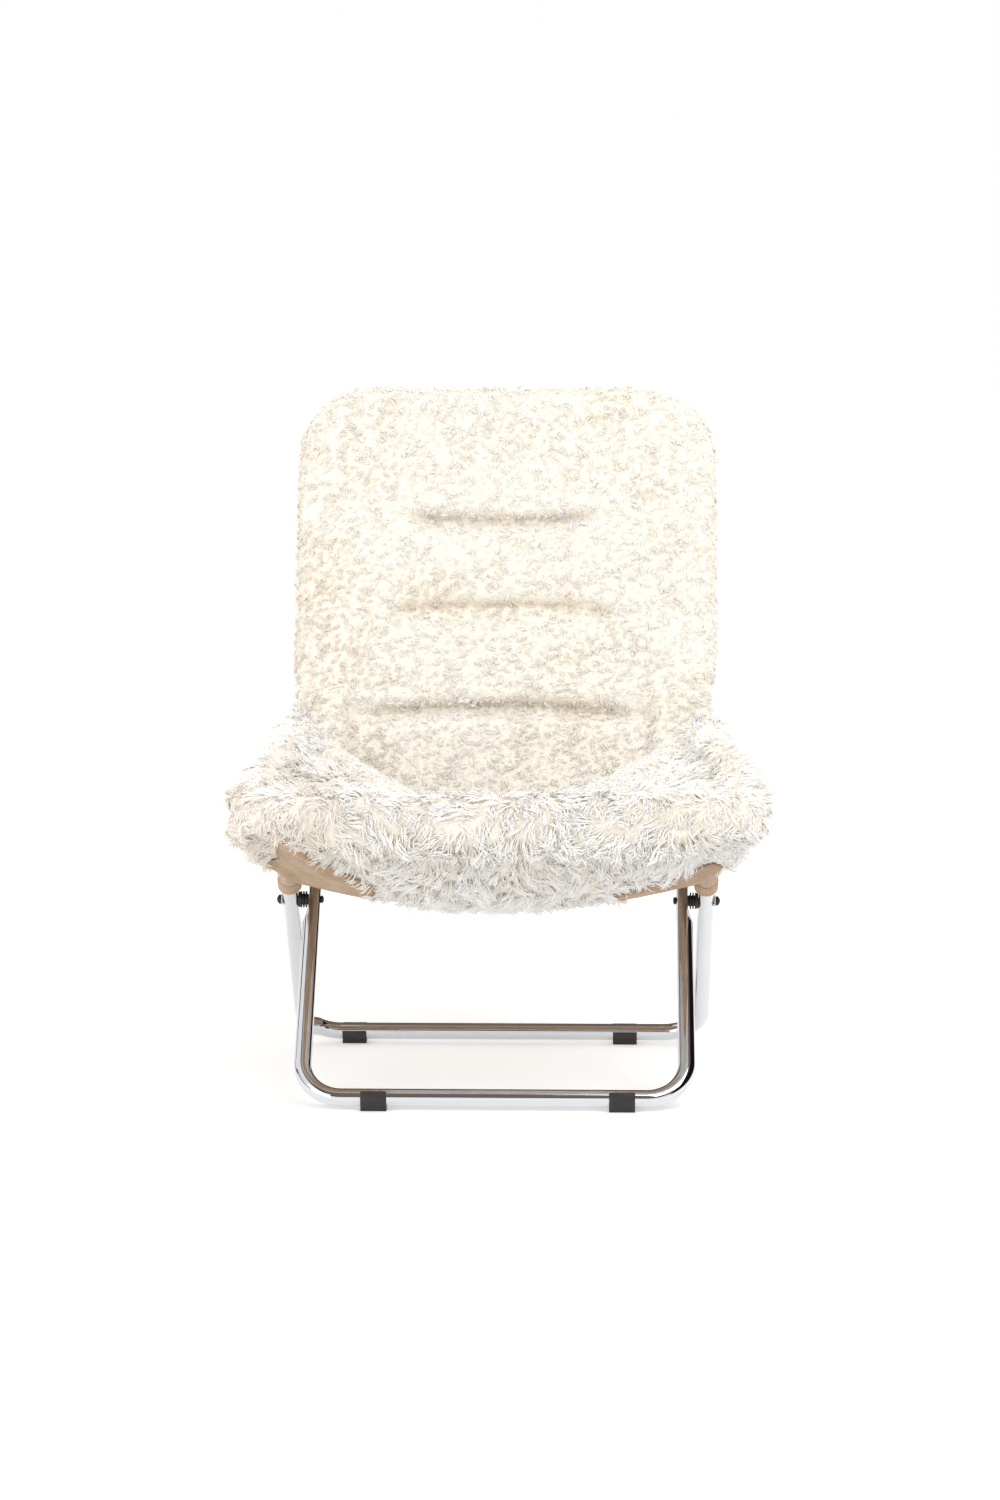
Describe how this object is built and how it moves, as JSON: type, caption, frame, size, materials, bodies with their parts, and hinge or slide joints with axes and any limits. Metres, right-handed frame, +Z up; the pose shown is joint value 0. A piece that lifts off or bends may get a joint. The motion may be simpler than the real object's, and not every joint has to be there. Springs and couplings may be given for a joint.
{
  "type": "folding saucer chair",
  "caption": "Low folding lounge chair: a padded fur bucket seat and back hung between crossed loops of chromed round tube that turn on a shared pivot line.",
  "frame": {"origin": "centre of the chair's bounding box in X and Y, on the floor", "axes": "+Z up, -Y the way the sitter faces, X across the seat"},
  "size_m": [0.648, 0.6898, 0.8591],
  "materials": {
    "chromed_tube": "polished",
    "cream_fur": "long curly pile",
    "tan_suede": "brushed suede",
    "black_plastic": "satin moulded",
    "pale_nylon": "satin moulded",
    "black_steel": "semi-gloss black",
    "zinc_steel": "bright zinc plate"
  },
  "bodies": {
    "back_frame": {"front_leg_tube": "chromed_tube", "back_hoop_tube": "chromed_tube", "back_pad": "cream_fur", "back_sling": "tan_suede", "pivot_bolt_left": "black_steel", "pivot_bolt_right": "black_steel", "pivot_spacer_left": "black_plastic", "pivot_spacer_right": "black_plastic", "pivot_washer_left": "pale_nylon", "pivot_washer_right": "pale_nylon", "pivot_nut_left": "black_steel", "pivot_nut_right": "black_steel", "front_foot_left": "black_plastic", "front_foot_right": "black_plastic", "back_joint_spigot_left": "zinc_steel", "back_joint_spigot_right": "zinc_steel", "back_joint_screw_left": "zinc_steel", "back_joint_screw_right": "zinc_steel"},
    "seat_frame": {"rear_leg_tube": "chromed_tube", "seat_hoop_tube": "chromed_tube", "seat_pad": "cream_fur", "seat_wing_left": "cream_fur", "seat_wing_right": "cream_fur", "seat_sling": "tan_suede", "seat_sleeve_left": "tan_suede", "seat_sleeve_right": "tan_suede", "rear_foot_left": "black_plastic", "rear_foot_right": "black_plastic", "seat_joint_spigot_left": "zinc_steel", "seat_joint_spigot_right": "zinc_steel", "seat_joint_screw_left": "zinc_steel", "seat_joint_screw_right": "zinc_steel"}
  },
  "joints": [
    {"name": "fold", "type": "hinge", "parent": "back_frame", "child": "seat_frame", "pos_m": [0, 0.03008, 0.228], "axis": [-1, 0, 0], "range_deg": [0, 70]}
  ]
}
